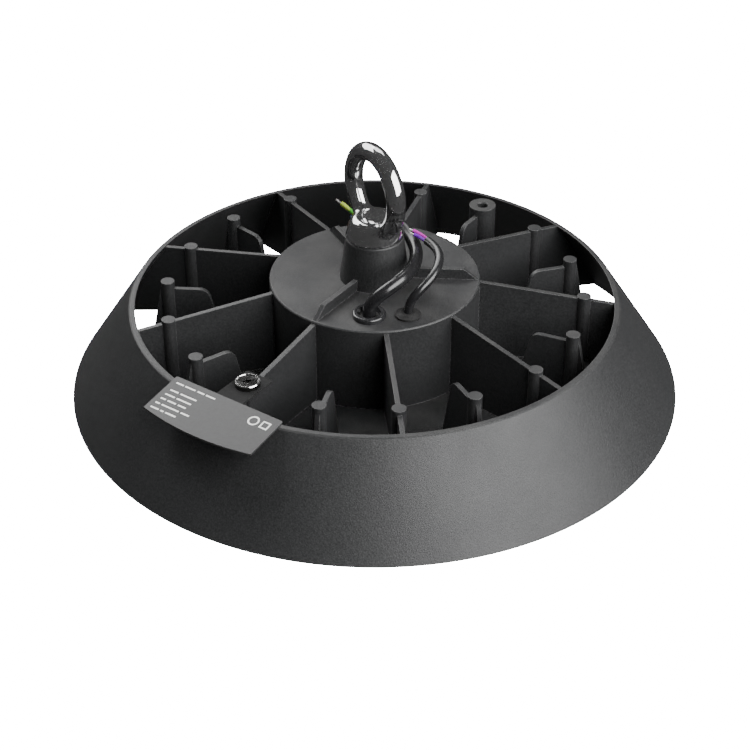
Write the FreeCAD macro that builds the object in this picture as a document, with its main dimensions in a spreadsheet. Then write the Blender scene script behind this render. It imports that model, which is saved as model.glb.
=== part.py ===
"""High bay light: a cast housing with cooling fins, hung from a forged eye bolt, with the driver in the
middle and the LED board and lenses below. Millimetres, +Z up, origin on the floor under the axis."""
import FreeCAD, Part
import Sketcher
import math
import os
import re

doc = FreeCAD.newDocument("HighBayLight")

# Driving sizes
SIZES = (
    ("rim_radius", 140, "outside of the skirt at its bottom rim"),
    ("skirt_top_radius", 111.1, "outside of the skirt at its top edge"),
    ("skirt_height", 43.7, "skirt from rim to top edge"),
    ("skirt_wall", 2.5, "skirt wall, measured level"),
    ("skirt_bevel", 0.5, "bevel on the skirt's top edge"),
    ("plate_under", 10.4, "underside of the base plate above the rim"),
    ("plate_thick", 3, "base plate"),
    ("plate_radius", 100, "outer edge of the base plate"),
    ("case_radius", 47.6, "outside of the driver compartment"),
    ("case_height", 40.4, "compartment from plate to roof top"),
    ("case_wall", 3, "compartment side wall"),
    ("case_roof", 2.5, "compartment roof"),
    ("case_edge", 0.5, "bevel on the roof's outer edge"),
    ("fin_count", 9, "long fins, and as many short ones between them"),
    ("fin_thick", 2.1, "all fins"),
    ("fin_root_drop", 1, "top of a long fin below the roof top, at the compartment"),
    ("fin_rim_drop", 0.5, "top of a long fin below the skirt's top edge"),
    ("fin_rim_lift", 0.3, "lower edge of a long fin above the rim, at the skirt"),
    ("fin_grip", 1, "how far fins run into the parts they join"),
    ("tongue_drop", 3.6, "top of a short fin below the post top"),
    ("tongue_reach", 18.6, "upper inner corner of a short fin inboard of the posts"),
    ("tongue_lean", 7.0, "how much further inboard its foot stands"),
    ("tongue_round", 5, "rounding of that corner"),
    ("wedge_drop", 2.6, "top of a short fin's outer part below the post top"),
    ("wedge_reach", 3.0, "outer part's top corner outboard of the posts"),
    ("wedge_foot", 5.2, "its foot outboard of the plate edge"),
    ("post_margin", 5.1, "middle of a post inside the plate's edge"),
    ("post_radius", 3.1, "posts"),
    ("post_height", 33.4, "posts above the plate"),
    ("mast_radius", 6.45, "outside of the one large post"),
    ("mast_bore", 2.55, "M6 tapped hole in it, at its thread's core"),
    ("mast_depth", 16, "depth of that hole"),
    ("mast_place", 1, "which short fin carries it"),
    ("boss_height", 20.6, "eye boss above the roof"),
    ("boss_top_radius", 13, "eye boss at its top"),
    ("boss_foot_radius", 15.9, "eye boss at its foot"),
    ("boss_bevel", 0.5, "bevel on the boss's top edge"),
    ("boss_depth", 18, "depth of the eye bolt's hole"),
    ("rib_count", 3, "ribs on the roof"),
    ("rib_thick", 2.2, "ribs on the roof"),
    ("rib_height", 5, "ribs above the roof"),
    ("rib_reach", 40.3, "end of a rib's level top"),
    ("rib_slope", 6.3, "length of its sloping end"),
    ("eye_bar", 4.3, "radius of the eye's bar"),
    ("eye_ring", 17.8, "radius of the eye's centre line"),
    ("eye_rise", 22.5, "centre of the eye above the boss"),
    ("eye_angle", -54.5, "direction in which the eye lies, degrees"),
    ("collar_height", 9.6, "collar of the eye bolt"),
    ("collar_foot_radius", 13, "collar at the boss"),
    ("collar_top_radius", 11, "collar below its rounded top"),
    ("collar_edge", 0.9, "height of the straight band at the collar's foot"),
    ("collar_crown", 2.4, "rounding of the collar's top"),
    ("shank_radius", 5, "M10 shank"),
    ("shank_length", 16.5, "M10 shank"),
    ("shank_play", 0.05, "between a screw's shank and its hole"),
    ("shank_tip", 1.2, "chamfer of the shank's end"),
    ("gland_circle", 34.8, "mains gland from the axis"),
    ("gland_ring", 7.35, "outer radius of the gland's flange"),
    ("gland_height", 2.2, "flange above the roof"),
    ("gland_round", 0.9, "rounding of the flange"),
    ("gland_mouth", 5.2, "radius of the gland's mouth"),
    ("gland_bore", 4.4, "bore that holds the seal"),
    ("gland_neck", 5.6, "threaded neck through the roof"),
    ("gland_below", 5.6, "neck below the roof"),
    ("gland_play", 0.1, "between neck and roof"),
    ("nut_flats", 7.5, "half the width across the lock nut's flats"),
    ("nut_thick", 3.5, "lock nut"),
    ("seal_below", 4.4, "seal below the roof"),
    ("seal_top", 0.4, "seal above the roof"),
    ("grommet_circle", 37.25, "dimming grommet from the axis"),
    ("grommet_angle", -63, "its direction, degrees"),
    ("grommet_ring", 5.6, "outer radius of its flange"),
    ("grommet_edge", 0.9, "height of the flange's edge"),
    ("grommet_cone", 3.1, "radius at the top of its cone"),
    ("grommet_height", 2.1, "cone above the roof"),
    ("grommet_neck", 3.6, "neck through the roof"),
    ("grommet_lip", 5.0, "radius of its lip under the roof"),
    ("grommet_lip_thick", 1.4, "that lip"),
    ("mains_radius", 3, "mains cable"),
    ("mains_core_radius", 1.1, "its cores"),
    ("mains_wire_radius", 0.55, "their stripped ends"),
    ("dim_radius", 2, "dimming cable"),
    ("dim_core_radius", 0.8, "its cores"),
    ("dim_wire_radius", 0.35, "their stripped ends"),
    ("dim_seat", 0.8, "start of the dimming cable above the roof"),
    ("label_thick", 0.9, "label plate"),
    ("label_tab_half", 6.83, "half width of its tab"),
    ("label_tab_in", 8.3, "tab inboard of the screw"),
    ("label_bend", 12.2, "bend outboard of the screw"),
    ("label_reach", 33.5, "outer corners outboard of the screw"),
    ("label_bulge", 3, "how far the outer edge curves out"),
    ("label_half", 28.3, "half width of the wide part"),
    ("label_droop", 9.5, "bend angle, degrees"),
    ("label_angle", -1.5, "turn about the screw, degrees"),
    ("label_corner", 1, "rounding of its corners"),
    ("label_post", 6, "which long fin's post carries it"),
    ("tag_screw_radius", 1.95, "M4 shank of the label screw"),
    ("tag_screw_length", 11, "shank below the head"),
    ("tag_head_radius", 5.4, "washer head"),
    ("tag_flange", 0.8, "edge of the washer head"),
    ("tag_head_height", 2.3, "washer head with its crown"),
    ("tag_crown_radius", 3.9, "crown of the head"),
    ("tag_recess", 2.6, "half length of the cross recess"),
    ("tag_recess_half", 0.55, "half width of its slots"),
    ("tag_recess_depth", 1.3, "depth of its slots"),
    ("tag_recess_angle", 25, "how far they are turned, degrees"),
    ("cover_thick", 1.5, "driver cover"),
    ("cover_play", 0.4, "between cover and compartment wall"),
    ("stud_count", 3, "bosses for the cover's screws"),
    ("stud_circle", 40.6, "circle on which they stand"),
    ("stud_radius", 4.5, "those bosses"),
    ("cover_screw_radius", 1.45, "M3 shank"),
    ("cover_screw_length", 10, "cover screw"),
    ("cover_head_radius", 2.75, "countersunk head"),
    ("tray_radius", 35.2, "driver tray"),
    ("tray_wall", 1.2, "driver tray"),
    ("tray_height", 14.1, "driver tray"),
    ("peg_circle", 29, "pegs that carry the board"),
    ("peg_radius", 2.5, "pegs"),
    ("peg_height", 3, "pegs above the tray's floor"),
    ("board_radius", 33.6, "driver board"),
    ("board_thick", 1.6, "circuit boards"),
    ("lead_circle", 39.2, "hole for the LED leads from the axis"),
    ("lead_angle", 150, "its direction, degrees"),
    ("lead_hole", 2.2, "that hole"),
    ("lead_radius", 0.8, "LED leads"),
    ("core_across", -3, "transformer's place"),
    ("core_along", 6, "transformer's place"),
    ("core_half", 12, "half its width"),
    ("core_half_depth", 6, "half the core's depth"),
    ("core_height", 20, "transformer core"),
    ("core_leg", 3.5, "yokes of the core"),
    ("core_window_middle", 5.75, "middle of a window from the core's middle"),
    ("core_window_half", 2.25, "half a window's width"),
    ("winding_play", 0.1, "between winding and outer legs"),
    ("winding_round", 1.5, "rounding of the winding"),
    ("can_bead", 0.7, "bead and bevelled top of a can"),
    ("can_bead_lift", 2.4, "bead above the board"),
    ("bulk_across", 22, "bulk capacitor's place"),
    ("bulk_along", 7, "bulk capacitor's place"),
    ("bulk_radius", 8, "bulk capacitor"),
    ("bulk_height", 25, "bulk capacitor"),
    ("out_can_across", 14.5, "output capacitor's place"),
    ("out_can_along", 21.5, "output capacitor's place"),
    ("out_can_radius", 6.3, "output capacitor"),
    ("out_can_height", 20, "output capacitor"),
    ("choke_across", 15, "choke's place"),
    ("choke_along", -12, "choke's place"),
    ("choke_radius", 9, "choke"),
    ("choke_bore", 4.5, "choke"),
    ("choke_height", 9, "choke"),
    ("choke_bevel", 1.8, "bevels of the choke"),
    ("film_across", -18, "first film capacitor's place"),
    ("film_along", -14, "first film capacitor's place"),
    ("film_second_across", -21.5, "second film capacitor's place"),
    ("film_second_along", 0.5, "second film capacitor's place"),
    ("film_half", 7.5, "half its length"),
    ("film_half_depth", 3.5, "half its thickness"),
    ("film_height", 12, "film capacitors"),
    ("sink_across", -8, "heatsink's place"),
    ("sink_along", 19.25, "heatsink's place"),
    ("sink_half", 12, "half its width"),
    ("sink_half_depth", 0.75, "half its thickness"),
    ("sink_height", 24, "heatsink"),
    ("switch_half", 5, "half the transistor's width"),
    ("switch_half_depth", 2.25, "half its thickness"),
    ("switch_height", 15, "transistor"),
    ("switch_lift", 4, "transistor above the board"),
    ("switch_leg", 0.45, "half a leg's thickness"),
    ("switch_leg_step", 2.54, "from leg to leg"),
    ("inlet_along", 25, "inlet terminal's place"),
    ("inlet_half", 7.5, "half its width"),
    ("inlet_pitch", 4.6, "from wire to wire"),
    ("outlet_across", 22, "outlet terminal's place"),
    ("outlet_along", 13, "outlet terminal's place"),
    ("outlet_half", 5, "half its width"),
    ("terminal_half_depth", 4, "half a terminal's depth"),
    ("terminal_height", 10, "terminals"),
    ("led_board_margin", 14, "LED board inside the base plate's edge"),
    ("chip_side", 3, "LED chip"),
    ("chip_thick", 0.7, "LED chip"),
    ("chip_margin", 10, "outer ring of chips inside the board's edge"),
    ("chip_ring_step", 18, "from one ring of chips to the next"),
    ("chip_arc_count", 6, "chips that each ring has more than the last"),
    ("lens_margin", 9, "lens plate inside the base plate's edge"),
    ("lens_gap", 0.9, "between LED board and lens sheet"),
    ("lens_sheet", 2, "lens sheet"),
    ("lens_wall", 2.5, "upstand round the lens plate"),
    ("dome_radius", 5.6, "foot of one lens"),
    ("dome_tip", 3.5, "its outer face"),
    ("dome_height", 3, "one lens"),
    ("gasket_thick", 0.8, "lens gasket"),
    ("ring_lip", 2.6, "how far the lens ring holds under the lens plate"),
    ("ring_lip_thick", 1.5, "that lip"),
    ("ring_play", 0.3, "between lens plate and ring"),
    ("ring_inset", 0.6, "lens ring inside the plate edge"),
    ("ring_bevel", 0.5, "bevel on its outer edge"),
    ("lens_screw_radius", 1.45, "M3 shank"),
    ("lens_screw_reach", 9.6, "shank above the plate's underside"),
    ("lens_head_radius", 2.75, "pan head"),
    ("lens_head_height", 1.7, "pan head"),
    ("lens_head_bevel", 0.6, "bevel of the pan head"),
    ("pass_play", 0.25, "between a screw's shank and a plain hole"),
    ("hole_spare", 1, "how much deeper a screw's hole is than its shank"),
)

# Sizes worked out from the ones above
WORKED_OUT = {
    "plate_top": "plate_under + plate_thick",
    "plate_middle": "plate_under + plate_thick / 2",
    "roof_top": "plate_top + case_height",
    "roof_under": "roof_top - case_roof",
    "case_bore": "case_radius - case_wall",
    "case_middle": "case_radius - case_wall / 2",
    "boss_top": "roof_top + boss_height",
    "post_top": "plate_top + post_height",
    "post_circle": "plate_radius - post_margin",
    "skirt_lean": "(rim_radius - skirt_top_radius) / skirt_height",
    "skirt_core": "rim_radius - skirt_wall / 2",
    "fin_edge_fall": "(plate_under - fin_rim_lift) / (skirt_core - skirt_lean * fin_rim_lift - plate_radius)",
    "half_pitch": "180 / fin_count",
    "shank_bore": "shank_radius + shank_play",
    "tag_bore": "tag_screw_radius + shank_play",
    "stud_bore": "cover_screw_radius + shank_play",
    "lens_bore": "lens_screw_radius + shank_play",
    "gland_hole": "gland_neck + gland_play",
    "seal_foot": "roof_under - seal_below",
    "cable_seat": "roof_top + seal_top",
    "dim_start": "roof_top + dim_seat",
    "cover_top": "plate_under + cover_thick",
    "tray_floor": "cover_top + tray_wall",
    "board_under": "tray_floor + peg_height",
    "board_top": "board_under + board_thick",
    "choke_top": "board_top + choke_height",
    "led_under": "plate_under - board_thick",
    "sheet_top": "led_under - lens_gap",
    "sheet_under": "sheet_top - lens_sheet",
    "ring_under": "sheet_under - ring_lip_thick",
    "ring_outer": "plate_radius - ring_inset",
    "led_board_radius": "plate_radius - led_board_margin",
    "lens_radius": "plate_radius - lens_margin",
    "label_top": "post_top + label_thick",
    "label_arc": "(label_half ^ 2 + label_bulge ^ 2) / (2 * label_bulge)",
    "switch_along": "sink_along + sink_half_depth + switch_half_depth",
}

sheet = doc.addObject("Spreadsheet::Sheet", "Sizes")
for row, (alias, number, note) in enumerate(SIZES, start=1):
    sheet.set(f"A{row}", note)
    sheet.set(f"B{row}", str(number))
    sheet.setAlias(f"B{row}", alias)
doc.recompute()
ALIASES = {alias for alias, number, note in SIZES}
WORD = re.compile("[a-z][a-z_]*")


def formula(text):
    """A formula in plain words, with worked-out sizes spelt out and the others found in the sheet."""
    def spell(found):
        word = found.group(0)
        if word in WORKED_OUT:
            return f"({formula(WORKED_OUT[word])})"
        return f"Sizes.{word}" if word in ALIASES else word
    return WORD.sub(spell, str(text))


def value(text):
    """The number that a formula comes to."""
    return float(sheet.evalExpression(formula(text)))


def bind(item, **formulas):
    """Tie properties of an object to formulas."""
    for name, text in formulas.items():
        item.setExpression(name, formula(text))


def body(label):
    """A new sub-part, which may hold several like solids."""
    made = doc.addObject("PartDesign::Body", label)
    made.Label = label
    made.AllowCompound = True
    return made


def base(owner, role):
    """A plane or axis of a sub-part's own frame."""
    return next(item for item in owner.Origin.OriginFeatures if item.Role == role)


def upright(owner, name, across="0", along="0", turn="0"):
    """A sketch on an upright plane through a point of the floor: across is level, up is +Z."""
    sketch = owner.newObject("Sketcher::SketchObject", name)
    sketch.AttachmentSupport = (base(owner, "XZ_Plane"), "")
    sketch.MapMode = "FlatFace"
    place = FreeCAD.Vector(value(across), 0, -value(along))
    sketch.AttachmentOffset = FreeCAD.Placement(place, FreeCAD.Rotation(FreeCAD.Vector(0, 1, 0), value(turn)))
    sketch.setExpression("AttachmentOffset.Base.x", formula(across))
    sketch.setExpression("AttachmentOffset.Base.z", formula(f"-({along})"))
    return sketch


def level(owner, name, height, across="0", along="0", turn="0"):
    """A sketch on a level plane at a height, with its origin moved and turned."""
    sketch = owner.newObject("Sketcher::SketchObject", name)
    sketch.AttachmentSupport = (base(owner, "XY_Plane"), "")
    sketch.MapMode = "FlatFace"
    place = FreeCAD.Vector(value(across), value(along), value(height))
    sketch.AttachmentOffset = FreeCAD.Placement(place, FreeCAD.Rotation(FreeCAD.Vector(0, 0, 1), value(turn)))
    sketch.setExpression("AttachmentOffset.Base.x", formula(across))
    sketch.setExpression("AttachmentOffset.Base.y", formula(along))
    sketch.setExpression("AttachmentOffset.Base.z", formula(height))
    return sketch


def pin(sketch, item, end, across, up):
    """Hold one point of a sketch at two formulas."""
    for kind, text in (("DistanceX", across), ("DistanceY", up)):
        number = sketch.addConstraint(Sketcher.Constraint(kind, -1, 1, item, end, value(text)))
        sketch.setExpression(f"Constraints[{number}]", formula(text))


def outline(sketch, corners):
    """A closed line through corners, each (across, up) or (across, up, rounding)."""
    spots = [FreeCAD.Vector(value(corner[0]), value(corner[1]), 0) for corner in corners]
    rounds = [value(corner[2]) if len(corner) > 2 else 0 for corner in corners]
    ends = []
    for i, (spot, radius) in enumerate(zip(spots, rounds)):
        back = (spots[i - 1] - spot).normalize()
        ahead = (spots[(i + 1) % len(spots)] - spot).normalize()
        half = back.getAngle(ahead) / 2
        cut = radius / math.tan(half)
        middle = spot + (back + ahead).normalize() * (radius / math.sin(half) - radius)
        ends.append((spot + back * cut, middle, spot + ahead * cut))
    lines = []
    for i, (entry, middle, leave) in enumerate(ends):
        line = Part.LineSegment(leave, ends[(i + 1) % len(ends)][0])
        lines.append(sketch.addGeometry(line, False))
    for i, (entry, middle, leave) in enumerate(ends):
        if not rounds[i]:
            sketch.addConstraint(Sketcher.Constraint("Coincident", lines[i - 1], 2, lines[i], 1))
            pin(sketch, lines[i], 1, corners[i][0], corners[i][1])
            continue
        arc = sketch.addGeometry(Part.Arc(entry, middle, leave), False)
        first = 1 if sketch.getPoint(arc, 1).distanceToPoint(entry) < 1e-6 else 2
        sketch.addConstraint(Sketcher.Constraint("Tangent", lines[i - 1], 2, arc, first))
        sketch.addConstraint(Sketcher.Constraint("Tangent", lines[i], 1, arc, 3 - first))
        number = sketch.addConstraint(Sketcher.Constraint("Radius", arc, rounds[i]))
        sketch.setExpression(f"Constraints[{number}]", formula(corners[i][2]))
        point = sketch.addGeometry(Part.Point(spots[i]), True)
        sketch.addConstraint(Sketcher.Constraint("PointOnObject", point, 1, lines[i - 1]))
        sketch.addConstraint(Sketcher.Constraint("PointOnObject", point, 1, lines[i]))
        pin(sketch, point, 1, corners[i][0], corners[i][1])
    return sketch


def round_line(sketch, radius, across="0", up="0"):
    """A circle in a sketch."""
    centre = FreeCAD.Vector(value(across), value(up), 0)
    circle = sketch.addGeometry(Part.Circle(centre, FreeCAD.Vector(0, 0, 1), value(radius)), False)
    number = sketch.addConstraint(Sketcher.Constraint("Radius", circle, value(radius)))
    sketch.setExpression(f"Constraints[{number}]", formula(radius))
    pin(sketch, circle, 3, across, up)
    return sketch


def block_line(sketch, half_across, half_up, rounding=None):
    """A rectangle about a sketch's origin."""
    corners = []
    for side, end in ((-1, -1), (1, -1), (1, 1), (-1, 1)):
        corner = (f"{side} * ({half_across})", f"{end} * ({half_up})")
        corners.append(corner if rounding is None else corner + (rounding,))
    return outline(sketch, corners)


def facet_line(sketch, radius, sides=8):
    """A many-sided line round a sketch's origin, with its corners at a radius."""
    turns = [360 / sides * (side + 0.5) for side in range(sides)]
    return outline(sketch, [(f"{radius} * cos({turn})", f"{radius} * sin({turn})") for turn in turns])


def turned(owner, name, corners, across="0", along="0", turn="0", cut=False):
    """A turned form, or a turned cut, about the upright line through a point of the floor."""
    sketch = outline(upright(owner, name + "_line", across, along, turn), corners)
    kind = "PartDesign::Groove" if cut else "PartDesign::Revolution"
    made = owner.newObject(kind, name)
    made.Profile = sketch
    made.ReferenceAxis = (sketch, ["V_Axis"])
    made.Angle = 360
    return made


def padded(owner, name, sketch, thickness, both_ways=False, back=False):
    """A sketch given thickness."""
    made = owner.newObject("PartDesign::Pad", name)
    made.Profile = sketch
    made.SideType = "Symmetric" if both_ways else "One side"
    made.Reversed = back
    bind(made, Length=thickness)
    return made


def pocketed(owner, name, sketch, depth, upward=False):
    """A sketch cut downward, or upward, from its plane."""
    made = owner.newObject("PartDesign::Pocket", name)
    made.Profile = sketch
    made.Reversed = upward
    bind(made, Length=depth)
    return made


def ring_of(owner, name, features, count):
    """Copies of features all round the axis."""
    made = owner.newObject("PartDesign::PolarPattern", name)
    made.Originals = features
    made.Axis = (base(owner, "Z_Axis"), [""])
    made.Angle = 360
    bind(made, Occurrences=count)
    owner.Tip = made
    return made


def drilled(owner, name, radius, mouth, depth, across, along, chamfer="0", upward=False):
    """A round hole from a level mouth, with an optional chamfer."""
    sign = "+" if upward else "-"
    corners = [("0", mouth), (f"{radius} + {chamfer}", mouth)]
    if chamfer != "0":
        corners.append((radius, f"{mouth} {sign} {chamfer}"))
    corners += [(radius, f"{mouth} {sign} ({depth})"), ("0", f"{mouth} {sign} ({depth})")]
    return turned(owner, name, corners, across, along, cut=True)


def spot_at(circle, turn):
    """Level place on a circle about the axis, as two formulas."""
    return f"{circle} * cos({turn})", f"{circle} * sin({turn})"


# Housing, one casting
def housing():
    """Plate, driver compartment, eye boss, fins, skirt, posts and ribs in one piece."""
    made = body("housing")
    turned(made, "core", [
        ("0", "roof_under"), ("0", "boss_top"), ("boss_top_radius - boss_bevel", "boss_top"),
        ("boss_top_radius", "boss_top - boss_bevel"), ("boss_foot_radius", "roof_top"),
        ("case_radius - case_edge", "roof_top"), ("case_radius", "roof_top - case_edge"),
        ("case_radius", "plate_top"), ("plate_radius", "plate_top"), ("plate_radius", "plate_under"),
        ("case_bore", "plate_under"), ("case_bore", "roof_under")])
    long_fins(made)
    turned(made, "skirt", [
        ("rim_radius - skirt_wall", "0"), ("rim_radius", "0"),
        ("skirt_top_radius + skirt_lean * skirt_bevel", "skirt_height - skirt_bevel"),
        ("skirt_top_radius - skirt_bevel", "skirt_height"),
        ("skirt_top_radius - skirt_wall", "skirt_height")])
    short_fins(made)
    posts(made)
    roof_ribs(made)
    cover_studs(made)
    housing_holes(made)
    return made


def long_fins(made):
    """Fins from the compartment out to the skirt."""
    side = outline(upright(made, "long_fin_line"), [
        ("case_middle", "plate_middle"), ("case_middle", "roof_top - fin_root_drop"),
        ("skirt_core - skirt_lean * skirt_height", "skirt_height - fin_rim_drop"),
        ("skirt_core - skirt_lean * fin_rim_lift", "fin_rim_lift"),
        ("plate_radius - fin_grip", "plate_under + fin_edge_fall * fin_grip"),
        ("plate_radius - fin_grip", "plate_middle")])
    fin = padded(made, "long_fin", side, "fin_thick", both_ways=True)
    ring_of(made, "long_fins", [fin], "fin_count")


def short_fins(made):
    """Fins between the long ones: a tongue inside each post and a wedge outside it."""
    tongue_lean = "tongue_lean / (post_height - tongue_drop)"
    foot = f"post_circle - tongue_reach - tongue_lean - {tongue_lean} * plate_thick / 2"
    side = outline(upright(made, "short_fin_line", turn="half_pitch"), [
        (foot, "plate_middle"),
        ("post_circle - tongue_reach", "post_top - tongue_drop", "tongue_round"),
        ("post_circle", "post_top - tongue_drop"), ("post_circle", "post_top - wedge_drop"),
        ("post_circle + wedge_reach", "post_top - wedge_drop"),
        ("plate_radius + wedge_foot", "plate_under - fin_edge_fall * wedge_foot"),
        ("plate_radius - fin_grip", "plate_under + fin_edge_fall * fin_grip"),
        ("plate_radius - fin_grip", "plate_middle")])
    fin = padded(made, "short_fin", side, "fin_thick", both_ways=True)
    ring_of(made, "short_fins", [fin], "fin_count")


def posts(made):
    """A post on every fin, and one large post with a tapped hole."""
    post = turned(made, "post", [
        ("0", "plate_middle"), ("post_radius", "plate_middle"), ("post_radius", "post_top"),
        ("0", "post_top")], across="post_circle")
    ring_of(made, "post_ring", [post], "2 * fin_count")
    across, along = spot_at("post_circle", "(2 * mast_place + 1) * half_pitch")
    turned(made, "mast", [
        ("0", "plate_middle"), ("mast_radius", "plate_middle"), ("mast_radius", "post_top"),
        ("0", "post_top")], across, along)
    drilled(made, "mast_hole", "mast_bore", "post_top", "mast_depth", across, along, chamfer="fin_grip / 2")


def roof_ribs(made):
    """Ribs on the roof, from the eye boss out."""
    side = outline(upright(made, "rib_line"), [
        ("boss_top_radius - fin_grip", "roof_top - case_edge"),
        ("boss_top_radius - fin_grip", "roof_top + rib_height"),
        ("rib_reach", "roof_top + rib_height"),
        ("rib_reach + rib_slope", "roof_top"),
        ("rib_reach + rib_slope", "roof_top - case_edge")])
    rib = padded(made, "rib", side, "rib_thick", both_ways=True)
    ring_of(made, "ribs", [rib], "rib_count")


def cover_studs(made):
    """Bosses inside the compartment for the cover's screws."""
    stud = turned(made, "stud", [
        ("0", "cover_top"), ("stud_radius", "cover_top"),
        ("stud_radius", "roof_under + case_edge"), ("0", "roof_under + case_edge")],
        across="stud_circle")
    ring_of(made, "studs", [stud], "stud_count")
    hole = drilled(made, "stud_hole", "stud_bore", "cover_top", "cover_screw_length",
                   "stud_circle", "0", upward=True)
    ring_of(made, "stud_holes", [hole], "stud_count")


def housing_holes(made):
    """Holes for the eye bolt, the two cables, the label screw and the lens screws."""
    drilled(made, "eye_hole", "shank_bore", "boss_top", "boss_depth", "0", "0", chamfer="case_edge")
    pocketed(made, "gland_cut", round_line(level(made, "gland_round", "roof_top", "0", "-gland_circle"),
                                           "gland_hole"), "case_roof")
    across, along = spot_at("grommet_circle", "grommet_angle")
    pocketed(made, "grommet_cut", round_line(level(made, "grommet_round", "roof_top", across, along),
                                             "grommet_neck"), "case_roof")
    across, along = spot_at("post_circle", "label_post * 2 * half_pitch")
    drilled(made, "tag_hole", "tag_bore", "post_top", "tag_screw_length + hole_spare", across, along)
    hole = drilled(made, "lens_hole", "lens_bore", "plate_under", "lens_screw_reach + hole_spare",
                   "post_circle", "0", upward=True)
    ring_of(made, "lens_holes", [hole], "fin_count")


# Eye bolt, one forging
def eye_bolt():
    """Eye, collar and shank."""
    made = body("eye_bolt")
    turned(made, "stem", [
        ("0", "boss_top - shank_length"), ("shank_radius - shank_tip", "boss_top - shank_length"),
        ("shank_radius", "boss_top - shank_length + shank_tip"), ("shank_radius", "boss_top"),
        ("collar_foot_radius", "boss_top"), ("collar_foot_radius", "boss_top + collar_edge"),
        ("collar_top_radius", "boss_top + collar_height", "collar_crown"),
        ("0", "boss_top + collar_height")])
    bar = made.newObject("Sketcher::SketchObject", "eye_line")
    bar.AttachmentSupport = (base(made, "YZ_Plane"), "")
    bar.MapMode = "FlatFace"
    round_line(bar, "eye_bar", "0", "boss_top + eye_rise + eye_ring")
    height = value("boss_top + eye_rise")
    ends = [FreeCAD.Vector(side * value("eye_ring"), height, 0) for side in (-1, 1)]
    axis = bar.addGeometry(Part.LineSegment(*ends), True)
    pin(bar, axis, 1, "-eye_ring", "boss_top + eye_rise")
    pin(bar, axis, 2, "eye_ring", "boss_top + eye_rise")
    eye = made.newObject("PartDesign::Revolution", "eye")
    eye.Profile = bar
    eye.ReferenceAxis = (bar, ["Axis0"])
    eye.Angle = 360
    bind(made, **{".Placement.Rotation.Angle": "eye_angle"})
    return made


# Cable entries in the roof
def mains_gland():
    """Flanged gland: mouth and flange above the roof, bored neck through it."""
    made = body("mains_gland")
    turned(made, "gland", [
        ("gland_bore", "roof_under - gland_below"), ("gland_neck", "roof_under - gland_below"),
        ("gland_neck", "roof_top"), ("gland_ring", "roof_top"),
        ("gland_ring", "roof_top + gland_height", "gland_round"),
        ("gland_mouth", "roof_top + gland_height"),
        ("gland_bore", "roof_top + seal_top")], along="-gland_circle")
    return made


def mains_gland_nut():
    """Hexagonal lock nut under the roof."""
    made = body("mains_gland_nut")
    face = level(made, "nut_line", "roof_under", "0", "-gland_circle")
    corner = "nut_flats / cos(30)"
    outline(face, [(f"{corner} * cos({turn})", f"{corner} * sin({turn})") for turn in range(0, 360, 60)])
    round_line(face, "gland_neck")
    padded(made, "nut", face, "nut_thick", back=True)
    return made


def mains_gland_seal():
    """Rubber plug that fills the gland's bore, with the sheath held on it."""
    made = body("mains_gland_seal")
    turned(made, "seal", [
        ("0", "seal_foot"), ("gland_bore", "seal_foot"), ("gland_bore", "cable_seat"),
        ("0", "cable_seat")], along="-gland_circle")
    return made


def dimming_grommet():
    """Rubber grommet: flange and cone above the roof, a lip below it."""
    made = body("dimming_grommet")
    across, along = spot_at("grommet_circle", "grommet_angle")
    turned(made, "grommet", [
        ("0", "roof_under - grommet_lip_thick"),
        ("grommet_neck", "roof_under - grommet_lip_thick"),
        ("grommet_lip", "roof_under"), ("grommet_neck", "roof_under"), ("grommet_neck", "roof_top"),
        ("grommet_ring", "roof_top"), ("grommet_ring", "roof_top + grommet_edge"),
        ("grommet_cone", "roof_top + grommet_height"), ("dim_radius", "roof_top + grommet_height"),
        ("dim_radius", "dim_start"), ("0", "dim_start")], across, along)
    return made


# Cables, with points chosen by hand
MAINS_BENDS = ((3.4, -35.5, 63.9), (8.3, -34.3, 67.5), (13.1, -30.1, 69.6), (16.4, -23.3, 69.4),
               (18.8, -13.4, 68.0), (19.1, -2.7, 68.3), (16.6, 6.6, 68.8), (11.9, 15.5, 71.3),
               (1.5, 19.8, 71.9), (-9.0, 20.0, 72.0))
DIM_BENDS = ((18.6, -33.0, 62.0), (21.3, -32.1, 65.4), (24.5, -29.7, 68.1), (27.2, -25.9, 70.0),
             (29.2, -20.5, 71.5), (29.7, -13.0, 72.6), (27.1, -5.8, 73.3), (23.6, -1.6, 73.5))
EARTH_BENDS = ((-13.2, 22.0, 75.0), (-16.9, 23.7, 77.0))
NEUTRAL_BENDS = ((-12.0, 22.3, 70.4), (-12.0, 24.3, 69.8))
LINE_BENDS = ((-12.2, 17.7, 70.6), (-12.6, 15.9, 68.8))
DIM_PLUS_BENDS = ((19.6, 1.0, 74.0), (17.5, 1.9, 74.5))
DIM_MINUS_BENDS = ((20.2, 2.9, 74.3), (17.05, 4.5, 75.0))
MAINS_RISE = 4.0
DIM_RISE = 3.0
CORE_START = 1.8
MAINS_BARE = 3.2
DIM_BARE = 1.9
DIM_APART = 0.72


def entry_points(across, along, height, rise, bends):
    """A cable's points: straight up out of its seat, then the bends."""
    seat = FreeCAD.Vector(value(across), value(along), value(height))
    return [seat, seat + FreeCAD.Vector(0, 0, rise)] + [FreeCAD.Vector(*bend) for bend in bends]


def core_points(sheath, aside, above, bends):
    """A core's points: straight out of the sheath's end face, then the bends."""
    ahead = (sheath[-1] - sheath[-2]).normalize()
    side = FreeCAD.Vector(0, 0, 1).cross(ahead).normalize()
    start = sheath[-1] + side * aside + ahead.cross(side) * above
    return [start, start + ahead * CORE_START] + [FreeCAD.Vector(*bend) for bend in bends]


def bare_points(core, length):
    """A stripped end, straight on from a core."""
    return [core[-1], core[-1] + (core[-1] - core[-2]).normalize() * length]


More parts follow.
